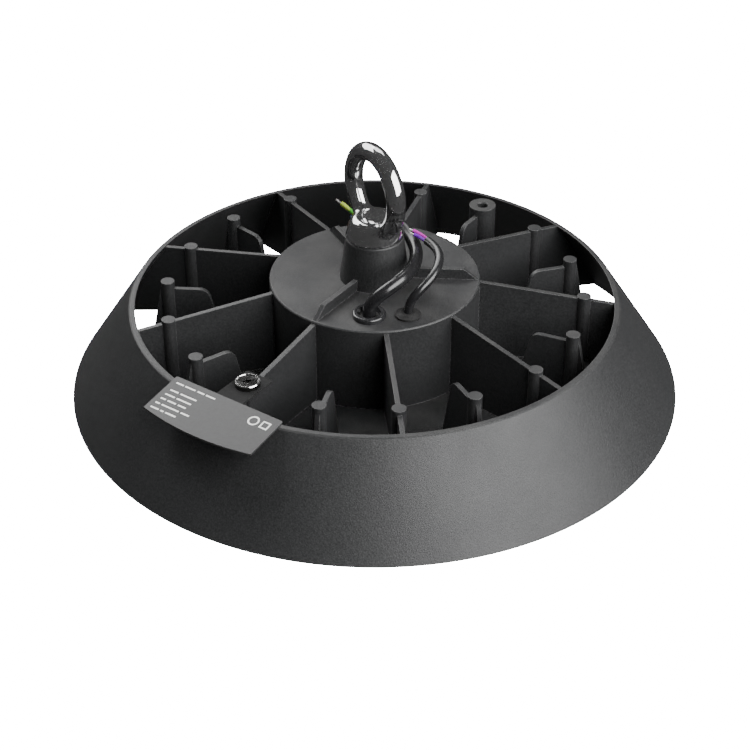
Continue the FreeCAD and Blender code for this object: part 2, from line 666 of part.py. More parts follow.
def tube(points, radius):
    """A round tube along straight runs joined by arcs as large as the runs allow."""
    edges = []
    here = points[0]
    radii = []
    for before, corner, after in zip(points, points[1:], points[2:]):
        back = before - corner
        ahead = after - corner
        cut = 0.45 * min(back.Length, ahead.Length)
        half = (math.pi - back.getAngle(ahead)) / 2
        radii.append(cut / math.tan(half))
        back.normalize()
        ahead.normalize()
        inward = (back + ahead).normalize() * (radii[-1] / math.cos(half) - radii[-1])
        entry = corner + back * cut
        leave = corner + ahead * cut
        edges.append(Part.LineSegment(here, entry).toShape())
        edges.append(Part.Arc(entry, corner + inward, leave).toShape())
        here = leave
    edges.append(Part.LineSegment(here, points[-1]).toShape())
    path = Part.Wire(edges)
    ring = Part.Wire(Part.Circle(points[0], points[1] - points[0], radius).toShape())
    solid = path.makePipeShell([ring], True, False)
    fill = solid.Volume / (math.pi * radius ** 2 * path.Length)
    smallest = f", smallest bend {min(radii):.1f}" if radii else ""
    print(f"tube: length {path.Length:.1f}, volume over section {fill:.3f}{smallest}")
    return solid


def stiff_wire(points, radius):
    """A wire bent square at each point."""
    path = Part.makePolygon(points)
    ring = Part.Wire(Part.Circle(points[0], points[1] - points[0], radius).toShape())
    return path.makePipeShell([ring], True, False, 1)


def plain(label, shapes):
    """A sub-part made of ready solids."""
    made = doc.addObject("Part::Feature", label)
    made.Label = label
    made.Shape = shapes[0] if len(shapes) == 1 else Part.makeCompound(shapes)
    return made


def cables():
    """Both cables with their cores and stripped ends."""
    across, along = spot_at("grommet_circle", "grommet_angle")
    mains = entry_points("0", "-gland_circle", "cable_seat", MAINS_RISE, MAINS_BENDS)
    dim = entry_points(across, along, "dim_start", DIM_RISE, DIM_BENDS)
    spread = value("(mains_radius + mains_core_radius) / 3")
    cores = {}
    for label, turn, bends in (("earth_core", 64, EARTH_BENDS), ("neutral_core", -56, NEUTRAL_BENDS),
                               ("line_core", 184, LINE_BENDS)):
        aside = -spread * math.cos(math.radians(turn))
        above = spread * math.sin(math.radians(turn))
        cores[label] = core_points(mains, aside, above, bends)
    apart = value("dim_radius - dim_core_radius") * DIM_APART
    pairs = {"dim_plus_core": core_points(dim, apart, 0, DIM_PLUS_BENDS),
             "dim_minus_core": core_points(dim, -apart, 0, DIM_MINUS_BENDS)}
    made = [plain("mains_cable", [tube(mains, value("mains_radius"))]),
            plain("dimming_cable", [tube(dim, value("dim_radius"))])]
    made += [plain(label, [tube(points, value("mains_core_radius"))]) for label, points in cores.items()]
    made += [plain(label, [tube(points, value("dim_core_radius"))]) for label, points in pairs.items()]
    wire = value("mains_wire_radius")
    made.append(plain("core_tips", [tube(bare_points(points, MAINS_BARE), wire) for points in cores.values()]))
    wire = value("dim_wire_radius")
    made.append(plain("dim_tips", [tube(bare_points(points, DIM_BARE), wire) for points in pairs.values()]))
    return made


# Label plate and its screw
def label_plate():
    """Bent sheet tag: a tab under the screw and a wide part that hangs over the skirt."""
    made = body("label_plate")
    far = "label_reach + label_bulge + label_corner"
    droop = f"tan(label_droop) * ({far} - label_bend)"
    strip = outline(upright(made, "strip_line"), [
        ("-label_tab_in", "0"), ("label_bend", "0"), (far, f"-({droop})"),
        (far, f"label_thick - {droop}"), ("label_bend", "label_thick"), ("-label_tab_in", "label_thick")])
    padded(made, "strip", strip, "2 * label_half + 2 * label_corner", both_ways=True)
    trim = level(made, "trim_line", "2 * label_thick")
    outline(trim, [
        ("-2 * label_tab_in", "-2 * label_half"), ("2 * label_reach", "-2 * label_half"),
        ("2 * label_reach", "2 * label_half"), ("-2 * label_tab_in", "2 * label_half")])
    outline(trim, [
        ("-label_tab_in", "-label_tab_half", "label_corner"), ("label_bend", "-label_tab_half"),
        ("label_bend", "-label_half", "label_corner"), (far, "-label_half"), (far, "label_half"),
        ("label_bend", "label_half", "label_corner"), ("label_bend", "label_tab_half"),
        ("-label_tab_in", "label_tab_half", "label_corner")])
    pocketed(made, "trim", trim, "2 * label_reach")
    centre = "label_reach + label_bulge - label_arc"
    edge = level(made, "edge_line", "2 * label_thick", centre)
    round_line(edge, "label_arc")
    round_line(edge, "label_arc + label_reach")
    pocketed(made, "edge", edge, "2 * label_reach")
    drill = level(made, "tag_hole_line", "2 * label_thick")
    round_line(drill, "tag_screw_radius + pass_play")
    pocketed(made, "tag_pass", drill, "4 * label_thick")
    across, along = spot_at("post_circle", "label_post * 2 * half_pitch")
    bind(made, **{".Placement.Base.x": across, ".Placement.Base.y": along, ".Placement.Base.z": "post_top",
                  ".Placement.Rotation.Angle": "label_post * 2 * half_pitch + label_angle"})
    return made


def label_screw():
    """Washer-head screw with a cross recess."""
    made = body("label_screw")
    across, along = spot_at("post_circle", "label_post * 2 * half_pitch")
    head_top = "label_top + tag_head_height"
    turned(made, "screw", [
        ("0", "label_top - tag_screw_length"), ("tag_screw_radius", "label_top - tag_screw_length"),
        ("tag_screw_radius", "label_top"), ("tag_head_radius", "label_top"),
        ("tag_head_radius", "label_top + tag_flange"), ("tag_crown_radius", "label_top + tag_flange"),
        ("tag_crown_radius", head_top, "tag_flange"), ("0", head_top)], across, along)
    for name, half_across, half_up in (("slot_a", "tag_recess", "tag_recess_half"),
                                       ("slot_b", "tag_recess_half", "tag_recess")):
        sketch = level(made, name + "_line", head_top, across, along, "tag_recess_angle")
        slot = block_line(sketch, half_across, half_up)
        pocketed(made, name, slot, "tag_recess_depth")
    return made


# Driver compartment
def driver_cover():
    """Disc that closes the compartment, with countersunk holes and a hole for the LED leads."""
    made = body("driver_cover")
    disc = round_line(level(made, "cover_line", "plate_under"), "case_bore - cover_play")
    padded(made, "disc", disc, "cover_thick")
    hole = turned(made, "sink", [
        ("0", "plate_under"), ("cover_head_radius + pass_play", "plate_under"),
        ("cover_screw_radius + pass_play", "cover_top"), ("0", "cover_top")], "stud_circle", "0", cut=True)
    ring_of(made, "sinks", [hole], "stud_count")
    across, along = spot_at("lead_circle", "lead_angle")
    exit_line = round_line(level(made, "lead_line", "cover_top", across, along), "lead_hole")
    pocketed(made, "lead_exit", exit_line, "cover_thick")
    return made


def cover_screws():
    """Countersunk screws that hold the cover to the compartment's bosses."""
    made = body("cover_screws")
    screw = turned(made, "screw", [
        ("0", "plate_under"), ("cover_head_radius", "plate_under"), ("cover_screw_radius", "cover_top"),
        ("cover_screw_radius", "plate_under + cover_screw_length"),
        ("0", "plate_under + cover_screw_length")], across="stud_circle")
    ring_of(made, "screws", [screw], "stud_count")
    return made


def driver_tray():
    """Insulating cup with pegs that carry the circuit board."""
    made = body("driver_tray")
    turned(made, "cup", [
        ("0", "cover_top"), ("tray_radius", "cover_top"), ("tray_radius", "cover_top + tray_height"),
        ("tray_radius - tray_wall", "cover_top + tray_height"), ("tray_radius - tray_wall", "tray_floor"),
        ("0", "tray_floor")])
    peg = turned(made, "peg", [
        ("0", "tray_floor - tray_wall / 2"), ("peg_radius", "tray_floor - tray_wall / 2"),
        ("peg_radius", "board_under"), ("0", "board_under")], *spot_at("peg_circle", "45"))
    ring_of(made, "pegs", [peg], "4")
    return made


def driver_board():
    """Round circuit board."""
    made = body("driver_board")
    padded(made, "board", round_line(level(made, "board_line", "board_under"), "board_radius"), "board_thick")
    return made


def on_board(label, across, along, half_across, half_along, height, lift="0", rounding=None):
    """A block that stands on the board, or above it by a lift."""
    made = body(label)
    face = level(made, label + "_line", f"board_top + {lift}", across, along)
    padded(made, label + "_block", block_line(face, half_across, half_along, rounding), height)
    return made


def transformer():
    """Ferrite core with two windows and a winding round its middle leg."""
    core = on_board("transformer_core", "core_across", "core_along", "core_half", "core_half_depth",
                    "core_height")
    for name, side in (("window_left", "-"), ("window_right", "")):
        face = upright(core, name + "_line", f"core_across {side or '+'} core_window_middle", "core_along")
        outline(face, [(f"{sign} * core_window_half", f"board_top + {up}") for sign, up in
                       (("-1", "core_leg"), ("1", "core_leg"),
                        ("1", "core_height - core_leg"), ("-1", "core_height - core_leg"))])
        cut = core.newObject("PartDesign::Pocket", name)
        cut.Profile = face
        cut.SideType = "Symmetric"
        bind(cut, Length="4 * core_half_depth")
    winding = body("transformer_winding")
    face = level(winding, "winding_line", "board_top + core_leg", "core_across", "core_along")
    block_line(face, "core_window_middle + core_window_half - winding_play",
               "core_half_depth + 2 * core_window_half - winding_play", "winding_round")
    block_line(face, "core_window_middle - core_window_half", "core_half_depth")
    padded(winding, "winding", face, "core_height - 2 * core_leg")
    return [core, winding]


def capacitor(label, across, along, radius, height):
    """Can with a beaded foot and a rolled top."""
    made = body(label)
    bead = f"{radius} - can_bead"
    turned(made, label + "_can", [
        ("0", "board_top"), (radius, "board_top"), (radius, "board_top + can_bead_lift"),
        (bead, "board_top + can_bead_lift + can_bead"), (radius, "board_top + can_bead_lift + 2 * can_bead"),
        (radius, f"board_top + {height} - can_bead"), (bead, f"board_top + {height}"),
        ("0", f"board_top + {height}")], across, along)
    return made


def line_choke():
    """Wound ring core, lying on the board."""
    made = body("line_choke")
    turned(made, "choke", [
        ("choke_bore + choke_bevel", "board_top"), ("choke_radius - choke_bevel", "board_top"),
        ("choke_radius", "board_top + choke_bevel"), ("choke_radius", "choke_top - choke_bevel"),
        ("choke_radius - choke_bevel", "choke_top"), ("choke_bore + choke_bevel", "choke_top"),
        ("choke_bore", "choke_top - choke_bevel"), ("choke_bore", "board_top + choke_bevel")],
        "choke_across", "choke_along")
    return made


def film_capacitors():
    """Two boxed capacitors, one turned a quarter."""
    made = on_board("film_capacitors", "film_across", "film_along", "film_half", "film_half_depth",
                    "film_height")
    face = level(made, "second_line", "board_top", "film_second_across", "film_second_along")
    padded(made, "second_block", block_line(face, "film_half_depth", "film_half"), "film_height")
    return made


def power_switch():
    """Transistor on the heatsink, on three legs."""
    made = on_board("power_switch", "sink_across", "switch_along", "switch_half", "switch_half_depth",
                    "switch_height", lift="switch_lift")
    for name, step in (("leg_left", "-switch_leg_step"), ("leg_middle", "0"), ("leg_right", "switch_leg_step")):
        face = level(made, name + "_line", "board_top", f"sink_across + {step}", "switch_along")
        padded(made, name, block_line(face, "switch_leg", "switch_leg"), "switch_lift + switch_leg")
    return made


def terminal_blocks():
    """Input and output terminals."""
    made = on_board("terminal_blocks", "0", "-inlet_along", "inlet_half", "terminal_half_depth",
                    "terminal_height")
    face = level(made, "outlet_line", "board_top", "-outlet_across", "outlet_along")
    padded(made, "outlet_block", block_line(face, "outlet_half", "terminal_half_depth"), "terminal_height")
    return made


def leads():
    """Wires inside: from the mains seal to the inlet terminal, and from the outlet to the LED board."""
    top = value("board_top + terminal_height")
    pitch = value("inlet_pitch")
    wire = value("mains_core_radius")
    seal_foot = FreeCAD.Vector(0, -value("gland_circle"), value("seal_foot"))
    inlet = FreeCAD.Vector(0, -value("inlet_along"), top)
    inlet_wires = []
    for side in (-1, 0, 1):
        start = seal_foot + FreeCAD.Vector(side * wire * 2.2, 0, 0)
        end = inlet + FreeCAD.Vector(side * pitch, 0, 0)
        points = [start, start - FreeCAD.Vector(0, 0, wire * 4), end + FreeCAD.Vector(0, 0, wire * 5), end]
        inlet_wires.append(stiff_wire(points, wire))
    wire = value("lead_radius")
    outlet = FreeCAD.Vector(-value("outlet_across"), value("outlet_along"), top)
    turn = math.radians(value("lead_angle"))
    circle = value("lead_circle")
    outlet_wires = []
    for side in (-1, 1):
        aside = FreeCAD.Vector(-math.sin(turn), math.cos(turn), 0) * (side * wire * 1.2)
        start = outlet + FreeCAD.Vector(0, side * value("inlet_pitch") / 2, 0)
        foot = FreeCAD.Vector(circle * math.cos(turn), circle * math.sin(turn), value("plate_under")) + aside
        over = FreeCAD.Vector(foot.x, foot.y, value("cover_top + tray_height") + wire * 8)
        points = [start, start + FreeCAD.Vector(0, 0, wire * 7), over, foot]
        outlet_wires.append(stiff_wire(points, wire))
    return [plain("input_leads", inlet_wires), plain("led_leads", outlet_wires)]


# Light side
def led_board():
    """Round board screwed against the plate."""
    made = body("led_board")
    face = round_line(level(made, "led_board_line", "led_under"), "led_board_radius")
    padded(made, "board", face, "board_thick")
    return made


def chip_rings():
    """Each ring's circle and its number of places."""
    return [(f"led_board_radius - chip_margin - {2 - ring} * chip_ring_step", f"{ring + 2} * chip_arc_count")
            for ring in range(3)]


def led_chips():
    """Chips on the board's lower face, in rings."""
    made = body("led_chips")
    for ring, (circle, count) in enumerate(chip_rings()):
        sketch = level(made, f"chip_line_{ring}", "led_under", circle)
        face = block_line(sketch, "chip_side / 2", "chip_side / 2")
        chip = padded(made, f"chip_{ring}", face, "chip_thick", back=True)
        ring_of(made, f"chip_ring_{ring}", [chip], count)
    return made


def lens_plate():
    """Clear plate with one small lens under each chip and an upstand round its edge."""
    made = body("lens_plate")
    turned(made, "sheet_form", [
        ("0", "sheet_under"), ("lens_radius", "sheet_under"), ("lens_radius", "plate_under - gasket_thick"),
        ("lens_radius - lens_wall", "plate_under - gasket_thick"), ("lens_radius - lens_wall", "sheet_top"),
        ("0", "sheet_top")])
    for ring, (circle, count) in enumerate(chip_rings()):
        foot = level(made, f"dome_foot_{ring}", "sheet_under", circle)
        dome = padded(made, f"dome_{ring}", facet_line(foot, "dome_radius"), "dome_height", back=True)
        bind(dome, TaperAngle="-atan((dome_radius - dome_tip) / dome_height)")
        ring_of(made, f"dome_ring_{ring}", [dome], count)
    return made


def lens_gasket():
    """Flat ring between the lens plate and the casting."""
    made = body("lens_gasket")
    face = round_line(level(made, "gasket_line", "plate_under - gasket_thick"), "lens_radius")
    round_line(face, "lens_radius - lens_wall")
    padded(made, "gasket", face, "gasket_thick")
    return made


def lens_ring():
    """Ring that clamps the lens plate, with a plain hole under each long fin's post."""
    made = body("lens_ring")
    turned(made, "ring_form", [
        ("lens_radius - ring_lip", "ring_under"), ("ring_outer - ring_bevel", "ring_under"),
        ("ring_outer", "ring_under + ring_bevel"), ("ring_outer", "plate_under"),
        ("lens_radius + ring_play", "plate_under"), ("lens_radius + ring_play", "sheet_under"),
        ("lens_radius - ring_lip", "sheet_under")])
    hole = turned(made, "ring_hole", [
        ("0", "ring_under"), ("lens_screw_radius + pass_play", "ring_under"),
        ("lens_screw_radius + pass_play", "plate_under"), ("0", "plate_under")], "post_circle", "0", cut=True)
    ring_of(made, "ring_holes", [hole], "fin_count")
    return made


def lens_screws():
    """Screws through the ring into the posts."""
    made = body("lens_screws")
    screw = turned(made, "screw", [
        ("0", "ring_under - lens_head_height"),
        ("lens_head_radius - lens_head_bevel", "ring_under - lens_head_height"),
        ("lens_head_radius", "ring_under - lens_head_height + lens_head_bevel"),
        ("lens_head_radius", "ring_under"), ("lens_screw_radius", "ring_under"),
        ("lens_screw_radius", "plate_under + lens_screw_reach"),
        ("0", "plate_under + lens_screw_reach")], across="post_circle")
    ring_of(made, "screws", [screw], "fin_count")
    return made


PIECES = [housing(), eye_bolt(), mains_gland(), mains_gland_nut(), mains_gland_seal(), dimming_grommet()]
PIECES += cables()
PIECES += [label_plate(), label_screw(), driver_cover(), cover_screws(), driver_tray(), driver_board()]
PIECES += transformer()
PIECES += [
    capacitor("bulk_capacitor", "bulk_across", "bulk_along", "bulk_radius", "bulk_height"),
    capacitor("output_capacitor", "out_can_across", "out_can_along", "out_can_radius", "out_can_height"),
    line_choke(), film_capacitors(), power_switch(),
    on_board("switch_heatsink", "sink_across", "sink_along", "sink_half", "sink_half_depth", "sink_height"),
    terminal_blocks()]
PIECES += leads()
PIECES += [led_board(), led_chips(), lens_plate(), lens_gasket(), lens_ring(), lens_screws()]

doc.recompute()
for item in doc.Objects:
    if "Invalid" in item.State or "Error" in item.State:
        raise RuntimeError(f"{item.Label} did not build: {item.State}")
os.makedirs("parts", exist_ok=True)
for piece in PIECES:
    if piece.Shape.isNull() or not piece.Shape.isValid() or not piece.Shape.Solids:
        raise RuntimeError(f"{piece.Label} has no sound shape")
    piece.Shape.exportStep(f"parts/{piece.Label}.step")
    print(f"{piece.Label}: {len(piece.Shape.Solids)} solids, {piece.Shape.Volume:.0f} mm3")
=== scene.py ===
import math

import bpy
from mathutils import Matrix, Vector


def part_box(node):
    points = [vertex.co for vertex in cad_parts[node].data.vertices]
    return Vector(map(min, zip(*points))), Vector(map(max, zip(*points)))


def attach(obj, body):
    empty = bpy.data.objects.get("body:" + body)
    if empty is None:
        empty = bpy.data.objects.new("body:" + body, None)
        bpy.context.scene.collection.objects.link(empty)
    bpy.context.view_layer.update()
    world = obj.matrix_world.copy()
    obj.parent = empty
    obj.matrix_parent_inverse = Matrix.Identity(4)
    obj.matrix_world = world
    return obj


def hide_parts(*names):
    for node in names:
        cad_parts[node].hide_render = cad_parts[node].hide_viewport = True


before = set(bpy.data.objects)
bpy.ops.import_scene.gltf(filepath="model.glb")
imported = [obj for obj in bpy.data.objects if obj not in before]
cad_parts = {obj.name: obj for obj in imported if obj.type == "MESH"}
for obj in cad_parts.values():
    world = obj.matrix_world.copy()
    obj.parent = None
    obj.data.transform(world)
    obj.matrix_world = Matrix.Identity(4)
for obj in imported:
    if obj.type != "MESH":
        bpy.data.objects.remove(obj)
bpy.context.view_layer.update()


# Housing. One aluminium die casting: plate, driver compartment, eye boss, fins, skirt,
# posts and ribs. It is powder coated in fine-textured black, with painted highlights along its sharp edges
# and painted light on faces that look up.
class Wire:
    """One output in a material's nodes. Sums and products of wires add Math nodes."""

    def __init__(self, tree, socket=None):
        self.tree = tree
        self.socket = socket

    def node(self, kind, inputs=None, give=0, **settings):
        """Any node: its settings come first, then the values or wires of its sockets."""
        made = self.tree.nodes.new(kind)
        for name, setting in settings.items():
            setattr(made, name, setting)
        for name, given in (inputs or {}).items():
            if isinstance(given, Wire):
                self.tree.links.new(given.socket, made.inputs[name])
            else:
                made.inputs[name].default_value = given
        return Wire(self.tree, made.outputs[give])

    def maths(self, operation, first, second=0.0):
        """One Math node."""
        return self.node("ShaderNodeMath", {0: first, 1: second}, operation=operation)

    def __add__(self, other):
        return self.maths("ADD", self, other)

    def __sub__(self, other):
        return self.maths("SUBTRACT", self, other)

    def __rsub__(self, other):
        return self.maths("SUBTRACT", other, self)

    def __abs__(self):
        return self.maths("ABSOLUTE", self)

    def __mul__(self, other):
        return self.maths("MULTIPLY", self, other)

    def __pow__(self, other):
        return self.maths("POWER", self, other)

    def __gt__(self, other):
        return self.maths("GREATER_THAN", self, other)

    def __lt__(self, other):
        return self.maths("LESS_THAN", self, other)

    __radd__ = __add__
    __rmul__ = __mul__

    def spread(self, low, high, out_low=0.0, out_high=1.0):
        """The value stretched from one range to another, and held at its ends."""
        return self.node("ShaderNodeMapRange", {
            "Value": self, "From Min": low, "From Max": high,
            "To Min": out_low, "To Max": out_high}, clamp=True)

    def place(self):
        """Where a point of the surface is, in the object's own metres."""
        return self.node("ShaderNodeTexCoord", give="Object")

    def facing(self):
        """The way the surface faces there."""
        return self.node("ShaderNodeNewGeometry", give="Normal")

    def along(self, axis):
        """One axis of a vector."""
        return self.node("ShaderNodeSeparateXYZ", {"Vector": self}, give=axis)

    def vectors(self, operation, first, second, give="Vector"):
        """One Vector Math node."""
        return self.node("ShaderNodeVectorMath", {0: first, 1: second}, give, operation=operation)

    def noise(self, scale, detail=2.0, roughness=0.5):
        """Noise in object space, with a scale in repeats a metre."""
        return self.node("ShaderNodeTexNoise", {
            "Vector": self.place(), "Scale": scale, "Detail": detail, "Roughness": roughness})

    def blend(self, share, first, second):
        """Two colours mixed by a share."""
        return self.node("ShaderNodeMix", {
            "Factor": share, 6: paint(first), 7: paint(second)}, give=2, data_type="RGBA")

    def bump(self, height, depth, strength=1.0, under=None):
        """A normal from a height, with its depth in metres, over another normal if given."""
        inputs = {"Height": height, "Distance": depth, "Strength": strength}
        if under:
            inputs["Normal"] = under
        return self.node("ShaderNodeBump", inputs)


def paint(colour):
    """A colour with its alpha, or a wire as it is."""
    return colour if isinstance(colour, Wire) else (*colour, 1)


def finish(name, **flat):
    """A new material with its flat values on the shader's own sockets, its shader and a wire."""
    made = bpy.data.materials.new(name)
    made.use_nodes = True
    shader = made.node_tree.nodes["Principled BSDF"]
    for socket, given in flat.items():
        socket = socket.replace("_", " ")
        shader.inputs[socket].default_value = (*given, 1) if socket.endswith("Color") else given
    return made, shader, Wire(made.node_tree)


def feed(shader, **wires):
    """Join wires to a shader's sockets."""
    for socket, wire in wires.items():
        shader.id_data.links.new(wire.socket, shader.inputs[socket.replace("_", " ")])


def dress(material, *names):
    """Give CAD nodes a material."""
    for name in names:
        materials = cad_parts[name].data.materials
        if not materials:
            materials.append(material)
        for place in range(len(materials)):
            materials[place] = material


EDGE_ROUND = 0.0004

coat, shader, wire = finish("powder_coat", Specular_IOR_Level=0.34)
grain = wire.noise(1500, 3, 0.6)
orange_peel = wire.noise(420, 2, 0.5)
patches = wire.noise(38, 4, 0.6)
here = wire.facing()
# Painted light: faces that look up are lightened in patches, as if lit from above, and blended into the
# coat's colour.
painted_top_light = here.along("Z").spread(0.55, 1.0) * patches.spread(0.42, 0.68)
rounded = wire.node("ShaderNodeBevel", {"Radius": EDGE_ROUND}, samples=6)
level = wire.vectors("DOT_PRODUCT", rounded, here, "Value")
# Painted highlight: sharp edges are lightened in colour, standing in for the highlights that rounded edges
# catch.
painted_edge_highlight = level.spread(0.985, 0.86) * grain.spread(0.3, 0.6, 0.5, 1.0)
tone = wire.blend(grain.spread(0.35, 0.7), (0.0105, 0.0107, 0.011), (0.020, 0.0204, 0.021))
coat_with_painted_top_light = wire.blend(painted_top_light * 0.3, tone, (0.055, 0.054, 0.052))
feed(shader,
     Base_Color=wire.blend(painted_edge_highlight * 0.45, coat_with_painted_top_light, (0.13, 0.13, 0.132)),
     Roughness=patches.spread(0.3, 0.7, 0.38, 0.45) + grain.spread(0.3, 0.7, 0.0, 0.12),
     Normal=wire.bump(orange_peel, 0.00011, 0.3, wire.bump(grain, 0.00008, 0.9, rounded)))
dress(coat, "housing")


# Eye bolt. A steel forging with eye, collar and shank in one, whose legs run into the collar
# in full fillets. It is dipped in black gloss enamel over the forging's uneven skin.
def only(*objects):
    """Select these objects and nothing else."""
    bpy.ops.object.select_all(action="DESELECT")
    for item in objects:
        item.select_set(True)
    bpy.context.view_layer.objects.active = objects[0]


def pick(item, test):
    """Select the faces of a mesh that pass a test, in edit mode."""
    only(item)
    bpy.ops.object.mode_set(mode="EDIT")
    bpy.ops.mesh.select_mode(type="FACE")
    bpy.ops.mesh.select_all(action="DESELECT")
    bpy.ops.object.mode_set(mode="OBJECT")
    for face in item.data.polygons:
        face.select = test(face)
    bpy.ops.object.mode_set(mode="EDIT")


def settle(item, name, material):
    """Name a finished piece, put its place in its mesh, and tie it to the body."""
    only(item)
    bpy.ops.object.transform_apply(location=True, rotation=True, scale=True)
    item.name = name
    item.data.name = name
    item.data.materials.clear()
    item.data.materials.append(material)
    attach(item, "root")


def applied(item, kind, **settings):
    """Add a modifier to a piece and apply it."""
    only(item)
    change = item.modifiers.new(kind.title(), kind)
    for name, setting in settings.items():
        setattr(change, name, setting)
    bpy.ops.object.modifier_apply(modifier=change.name)


EYE_BAR_RADIUS = 0.0043
EYE_RING_RADIUS = 0.0178
EYE_CENTRE = 0.0969
EYE_TURN = math.radians(-54.5)
COLLAR_UNDER = 0.0744
COLLAR_STEP = 0.0753
COLLAR_TOP = 0.0840
COLLAR_RADIUS = 0.0110
COLLAR_ROUND = 0.0024
CROWN_INSET = 0.0020
CROWN_RISES = (0.00035, 0.00025, 0.00015, 0.00005)
FLANGE_RADIUS = 0.0130
SHANK_RADIUS = 0.0051
SHANK_LENGTH = 0.0165
FORGED_SKIN = 0.0004
FILLET_FROM = COLLAR_UNDER + 0.0055
FILLET_TO = COLLAR_TOP + 0.0065
FILLET_FADE = 0.0040

enamel, shader, wire = finish("eye_enamel", Coat_Roughness=0.03, Specular_IOR_Level=0.25, Coat_IOR=4.8)
skin = wire.noise(150, 2, 0.5)
pits = wire.noise(850, 3, 0.65)
speck = wire.noise(800, 2, 0.5)
feed(shader,
     Base_Color=wire.blend(speck.spread(0.35, 0.7), (0.010, 0.010, 0.0103), (0.019, 0.019, 0.0195)),
     Roughness=skin.spread(0.3, 0.7, 0.3, 0.42),
     Coat_Weight=pits.spread(0.72, 0.62, 0.4, 1.0),
     Normal=wire.bump(skin, 0.0002, 0.5, wire.bump(pits.spread(0.52, 0.66), 0.0004, 1.0)))

bpy.ops.object.select_all(action="DESELECT")
bpy.ops.mesh.primitive_torus_add(
    major_segments=160, minor_segments=48, major_radius=EYE_RING_RADIUS, minor_radius=EYE_BAR_RADIUS,
    location=(0, 0, EYE_CENTRE), rotation=(math.pi / 2, 0, EYE_TURN))
eye = bpy.context.active_object
bpy.ops.mesh.primitive_cylinder_add(
    vertices=96, radius=COLLAR_RADIUS, depth=COLLAR_TOP - COLLAR_STEP,
    location=(0, 0, (COLLAR_TOP + COLLAR_STEP) / 2))
collar = bpy.context.active_object
pick(collar, lambda face: face.normal.z > 0.9)
bpy.ops.mesh.bevel(offset=COLLAR_ROUND, segments=10, affect="EDGES")
bpy.ops.object.mode_set(mode="OBJECT")
pick(collar, lambda face: face.normal.z > 0.999)
for rise in CROWN_RISES:
    bpy.ops.mesh.inset(thickness=CROWN_INSET)
    bpy.ops.transform.translate(value=(0, 0, rise))
bpy.ops.object.mode_set(mode="OBJECT")
pick(collar, lambda face: face.normal.z < -0.9)
flare = FLANGE_RADIUS / COLLAR_RADIUS
bpy.ops.transform.resize(value=(flare, flare, 1))
bpy.ops.mesh.extrude_region_move(TRANSFORM_OT_translate={"value": (0, 0, COLLAR_UNDER - COLLAR_STEP)})
bpy.ops.mesh.inset(thickness=FLANGE_RADIUS - SHANK_RADIUS)
bpy.ops.mesh.extrude_region_move(TRANSFORM_OT_translate={"value": (0, 0, -SHANK_LENGTH)})
bpy.ops.object.mode_set(mode="OBJECT")
only(eye, collar)
bpy.ops.object.join()
applied(eye, "REMESH", mode="VOXEL", voxel_size=FORGED_SKIN)
applied(eye, "SMOOTH", factor=0.5, iterations=8)
fillet = eye.vertex_groups.new(name="fillet")
for point in eye.data.vertices:
    height = (eye.matrix_world @ point.co).z
    share = 0.0
    if height > FILLET_FROM:
        share = max(0.0, min(1.0, (FILLET_TO - height) / FILLET_FADE))
    fillet.add([point.index], share, "REPLACE")
applied(eye, "SMOOTH", factor=0.5, iterations=110, vertex_group="fillet")
only(eye)
bpy.ops.object.shade_smooth()
settle(eye, "forged_eye", enamel)
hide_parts("eye_bolt")


# Mains gland. A moulded nylon gland through the roof, with a rounded flange, held by its
# lock nut from below. A rubber seal in it grips the cable.
nylon, shader, wire = finish("gland_nylon", Specular_IOR_Level=0.5)
drag = wire.noise(900, 2, 0.5)
feed(shader,
     Base_Color=wire.blend(drag.spread(0.3, 0.7), (0.008, 0.008, 0.0085), (0.015, 0.015, 0.016)),
     Roughness=drag.spread(0.3, 0.7, 0.14, 0.24),
     Normal=wire.bump(drag, 0.000008, 0.4))
dress(nylon, "mains_gland", "mains_gland_nut", "terminal_blocks")

rubber, shader, wire = finish("black_rubber", Specular_IOR_Level=0.3)
speck = wire.noise(1300, 3, 0.6)
feed(shader,
     Base_Color=wire.blend(speck.spread(0.35, 0.7), (0.006, 0.006, 0.006), (0.012, 0.0118, 0.0115)),
     Roughness=speck.spread(0.3, 0.7, 0.5, 0.66),
     Normal=wire.bump(speck, 0.00006, 0.6))
dress(rubber, "mains_gland_seal", "dimming_grommet", "lens_gasket")


# Mains cable. Three cores in a round black sheath, cut to a short tail for the fitter, bent
# round the eye boss by hand. Sheath, cores and bare ends are one length of cable.
def route(name, millimetres, radius, material):
    """A round cable on one smooth line through its control points."""
    line = bpy.data.curves.new(name, "CURVE")
    line.dimensions = "3D"
    spline = line.splines.new("NURBS")
    spline.points.add(len(millimetres) - 1)
    for point, place in zip(spline.points, millimetres):
        point.co = (*(Vector(place) / 1000), 1)
    spline.order_u = 3
    spline.use_endpoint_u = True
    spline.resolution_u = 16
    line.bevel_depth = radius
    line.bevel_resolution = 7
    line.use_fill_caps = True
    line.materials.append(material)
    made = bpy.data.objects.new(name, line)
    bpy.context.collection.objects.link(made)
    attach(made, "root")
    return made


def branch(points, side, up, bends):
    """Points of a core that leaves the end of a sheath, off its middle by side and up."""
    end = Vector(points[-1])
    ahead = (end - Vector(points[-2])).normalized()
    across = Vector((0, 0, 1)).cross(ahead).normalized()
    start = end + across * side + ahead.cross(across) * up
    return [start, start + ahead * STRAIGHT_OUT, *bends]


